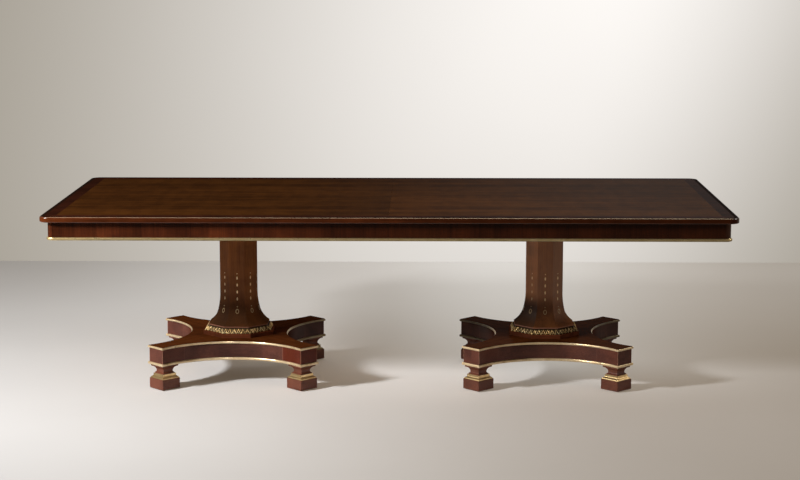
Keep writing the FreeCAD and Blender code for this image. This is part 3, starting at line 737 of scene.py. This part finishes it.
def collar(name, node_name, body):
    low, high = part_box(node_name)
    middle = (low.x + high.x) / 2
    foot_reach = (high.y - low.y) / 2 - collar_draw_in
    flare_low, flare_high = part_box(node_name.replace("collar", "column"))
    flare_reach = (flare_high.y - flare_low.y) / 2
    head_reach = flare_reach + collar_ledge
    groove_reach = flare_reach - groove_depth
    bore = groove_reach - collar_wall
    rounds = column_faces * leaves_per_face * steps_per_leaf
    verts, faces, relief = [], [], []

    def place(step, reach, height):
        turn = step / (leaves_per_face * steps_per_leaf)
        face = math.floor(turn)
        angle = math.tau * (face / column_faces) - math.pi / 2
        aside = (turn - face - 0.5) * 2 * reach * math.tan(math.pi / column_faces)
        outward = Vector((math.cos(angle), math.sin(angle), 0))
        sideways = Vector((-math.sin(angle), math.cos(angle), 0))
        spot = outward * reach + sideways * aside
        return (middle + spot.x, spot.y, height)

    rings = steps_down + 3
    for step in range(rounds):
        verts.append(place(step, bore, high.z))
        relief.append(0.0)
        for row in range(steps_down + 1):
            down = row / steps_down
            leaf_down = (down - groove_share) / (1 - groove_share)
            raised = 0.0
            reach = groove_reach
            if leaf_down >= 0:
                raised = carving(step / steps_per_leaf, leaf_down)
                bulge = math.sin(leaf_down * math.pi / 2) ** bulge_power
                ground = head_reach + (foot_reach - collar_relief - head_reach) * bulge - ground_inset
                reach = ground + (collar_relief + ground_inset) * raised
            height = high.z + (low.z - high.z) * down
            verts.append(place(step, reach, height))
            relief.append(raised)
        verts.append(place(step, bore, low.z))
        relief.append(0.0)
    for step in range(rounds):
        here, there = step * rings, (step + 1) % rounds * rings
        for row in range(rings):
            below = (row + 1) % rings
            faces.append((here + row, here + below, there + below, there + row))
    mesh = bpy.data.meshes.new(name)
    mesh.from_pydata(verts, [], faces)
    mesh.shade_smooth()
    layer = mesh.attributes.new("relief", "FLOAT", "POINT")
    layer.data.foreach_set("value", relief)
    mesh.materials.append(materials["gilt_carved"])
    ring = bpy.data.objects.new(name, mesh)
    bpy.context.scene.collection.objects.link(ring)
    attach(ring, body)
    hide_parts(node_name)


collar("left_carved_collar", "left_collar", "left_half")
collar("right_carved_collar", "right_collar", "right_half")


# Studio: pale floor, pale wall, lamps and camera

floor_reach = 14.0
wall_place = 2.93
wall_height = 7.0
key_place = (-3.45, -2.2, 2.0)


def sheet_mesh(name, corners):
    mesh = bpy.data.meshes.new(name)
    mesh.from_pydata(corners, [], [(0, 1, 2, 3)])
    stand = bpy.data.objects.new(name, mesh)
    bpy.context.scene.collection.objects.link(stand)
    return stand


floor = sheet_mesh("floor", [(-floor_reach, -floor_reach, 0), (floor_reach, -floor_reach, 0),
                             (floor_reach, floor_reach, 0), (-floor_reach, floor_reach, 0)])
wall = sheet_mesh("wall", [(-floor_reach, wall_place, 0), (floor_reach, wall_place, 0),
                           (floor_reach, wall_place, wall_height), (-floor_reach, wall_place, wall_height)])

# Floor: painted shade to the right, in front and under the key lamp, and a painted pool of light under the
# table
floor_deep, floor_pale = srgb(207, 206, 206), srgb(214, 213, 213)
floor_cloud_scale, floor_grain_scale = 1.2, 240.0
right_floor_tone = 0.84
far_right_place, far_right_tone = 2.4, 0.8
front_start, front_end, front_tone = -0.8, -2.0, 0.84
lamp_near, lamp_far, lamp_tone = 0.3, 3.45, 0.3
pool_x, pool_y, pool_length, pool_depth, pool_gain = 0.3, -0.1, 1.0, 0.5, 0.32
floor_gloss, floor_grain_rough = 0.4, 0.06

# Faint light of the floor's own: warm to the right, cool towards the wall and behind the pedestals
floor_glow, floor_glow_left, floor_glow_share = 0.13, 2.8, 0.1
far_glow = 0.1
warm_glow = (1.0, 0.72, 0.42, 1.0)
cool_glow = (0.9, 0.97, 1.0, 1.0)


def glow_behind(s, middle, width, near, far, level):
    """Light behind a pedestal, one bell wide along the table, that grows away from the camera."""
    across = s.bell(s.times(s.minus(s.x, middle), 1 / width), 0.0)
    return s.times(across, s.span(s.y, near, far, 0.0, level))


def floor_paint():
    s = Surface("floor_paint")
    cloud = s.noise(s.place, floor_cloud_scale, detail=3.0)
    grain = s.noise(s.place, floor_grain_scale, detail=2.0)
    colour = s.blend(cloud, floor_deep, floor_pale)
    # Painted shade to the right, in front and under the key lamp, and a painted pool of light under the
    # table.
    right = s.span(s.x, -half_width, half_length, 1.0, right_floor_tone)
    right = s.times(right, s.span(s.x, half_length, far_right_place, 1.0, far_right_tone))
    front = s.span(s.y, front_end, front_start, front_tone, 1.0)
    away = s.length(s.minus(s.x, key_place[0]), s.minus(s.y, key_place[1]))
    shade_under_lamp = s.span(away, lamp_near, lamp_far, lamp_tone, 1.0)
    pool_across = s.times(s.minus(s.x, pool_x), 1 / pool_length)
    pool_over = s.times(s.minus(s.y, pool_y), 1 / pool_depth)
    light_under_table = s.math("MULTIPLY_ADD", s.bell(pool_across, pool_over), pool_gain, 1.0)
    tone = s.times(s.times(right, front), s.times(shade_under_lamp, light_under_table))
    rough = s.math("MULTIPLY_ADD", grain, floor_grain_rough, floor_gloss)
    s.set(Base_Color=s.toned(colour, tone), Roughness=rough, Specular_IOR_Level=0.0)
    warm = s.span(s.x, -floor_glow_left, half_length, floor_glow_share * floor_glow, floor_glow)
    cool = s.times(s.span(s.x, -half_width, half_length), s.span(s.y, -half_width, wall_place, 0.0, far_glow))
    cool = s.plus(cool, glow_behind(s, middle=0.6, width=0.7, near=-0.6, far=0.3, level=0.2))
    cool = s.plus(cool, glow_behind(s, middle=-0.9, width=0.8, near=0.6, far=1.8, level=0.095))
    warm = s.blend(1.0, s.grey(warm), warm_glow, "MULTIPLY")
    cool = s.blend(1.0, s.grey(cool), cool_glow, "MULTIPLY")
    path = s.add("ShaderNodeLightPath")
    seen = s.math("MAXIMUM", path.outputs["Is Camera Ray"], path.outputs["Is Glossy Ray"])
    s.set(Emission_Color=s.blend(1.0, warm, cool, "ADD"), Emission_Strength=seen)
    s.show_front()
    return s.material


# Wall: a soft pool of light at its upper right
glow_x, glow_z = 1.326, 2.0
glow_left, glow_right, glow_over = 2.623, 1.473, 3.056
glow_skew = 0.308
wall_cloud_scale, wall_cloud_depth, wall_cloud_high = 0.9, 0.06, 1.03
wall_deep, wall_pale = srgb(147, 139, 124), srgb(255, 251, 247)


def wall_paint():
    """Pale warm wall that shines by itself, shown from the front only."""
    s = Surface("wall_paint")
    rise = s.minus(s.z, glow_z)
    aside = s.minus(s.minus(s.x, glow_x), s.times(rise, glow_skew))
    right = s.math("GREATER_THAN", aside, 0.0)
    across = s.times(aside, s.choose(right, 1 / glow_left, 1 / glow_right))
    over = s.times(rise, 1 / glow_over)
    cloud = s.noise(s.place, wall_cloud_scale, detail=3.0)
    cloud = s.math("MULTIPLY_ADD", cloud, -wall_cloud_depth, wall_cloud_high)
    colour = s.blend(s.times(s.bell(across, over), cloud), wall_deep, wall_pale)
    s.set(Base_Color=(0.0, 0.0, 0.0, 1.0), Roughness=0.8, Specular_IOR_Level=0.0)
    s.set(Emission_Color=colour, Emission_Strength=1.0)
    s.show_front()
    return s.material


floor.data.materials.append(floor_paint())
wall.data.materials.append(wall_paint())

table_middle = (0.2, 0.0, 0.2)
right_corner = (half_length, -half_width, top_height)


def lamp(name, place, aim, size, power, colour, shape="ELLIPSE", gloss_only=False):
    light = bpy.data.lights.new(name, "AREA")
    light.shape = shape
    light.size, light.size_y = size
    light.energy = power
    light.color = colour
    holder = bpy.data.objects.new(name, light)
    holder.location = place
    holder.visible_diffuse = not gloss_only
    holder.rotation_euler = (Vector(aim) - Vector(place)).to_track_quat("-Z", "Y").to_euler()
    bpy.context.scene.collection.objects.link(holder)


lamp("key", key_place, table_middle, size=(0.5, 0.5), power=218.0, colour=(1.0, 0.995, 0.985))
lamp("sheen", (-3.5, -2.25, 2.25), table_middle, size=(1.8, 1.2), power=190.0, colour=(1.0, 0.93, 0.84),
     gloss_only=True)
lamp("strip", (0.1, -0.4, 3.6), (0.1, -0.4, 0.0), size=(5.6, 0.8), power=260.0, colour=(1.0, 0.77, 0.5),
     shape="RECTANGLE", gloss_only=True)
lamp("rim", (3.67, -0.29, 2.69), right_corner, size=(0.5, 0.5), power=40.0, colour=(1.0, 0.95, 0.88),
     gloss_only=True)

room_level, room_level_right = 0.09, 0.75
room_right_start, room_right_end = 0.2, 1.0
room_colour = (1.0, 0.91, 0.82, 1.0)


def room():
    """Dim warm room all round, brighter on the right."""
    world = bpy.data.worlds.new("room")
    world.use_nodes = True
    tree = world.node_tree
    parts = tree.nodes.new("ShaderNodeSeparateXYZ")
    tree.links.new(tree.nodes.new("ShaderNodeTexCoord").outputs["Generated"], parts.inputs[0])
    level = tree.nodes.new("ShaderNodeMapRange")
    level.interpolation_type = "SMOOTHSTEP"
    passage = (room_right_start, room_right_end, room_level, room_level_right)
    for socket, value in zip(level.inputs[1:5], passage):
        socket.default_value = value
    tree.links.new(parts.outputs[0], level.inputs[0])
    glow = tree.nodes["Background"]
    glow.inputs["Color"].default_value = room_colour
    tree.links.new(level.outputs[0], glow.inputs["Strength"])
    return world


scene = bpy.context.scene
scene.world = room()
scene.view_settings.view_transform = "Standard"

camera_place = (0.14954, -8.31643, 1.89537)
camera_turn = math.radians(0.772)
camera_dip = math.radians(8.923)
camera_roll = math.radians(0.016)
lens = bpy.data.cameras.new("camera")
lens.sensor_width = 36.0
lens.lens = 87.67
camera = bpy.data.objects.new("camera", lens)
camera.matrix_world = (Matrix.Translation(camera_place)
                       @ Matrix.Rotation(camera_turn, 4, "Z")
                       @ Matrix.Rotation(math.pi / 2 - camera_dip, 4, "X")
                       @ Matrix.Rotation(camera_roll, 4, "Z"))
scene.collection.objects.link(camera)
scene.camera = camera
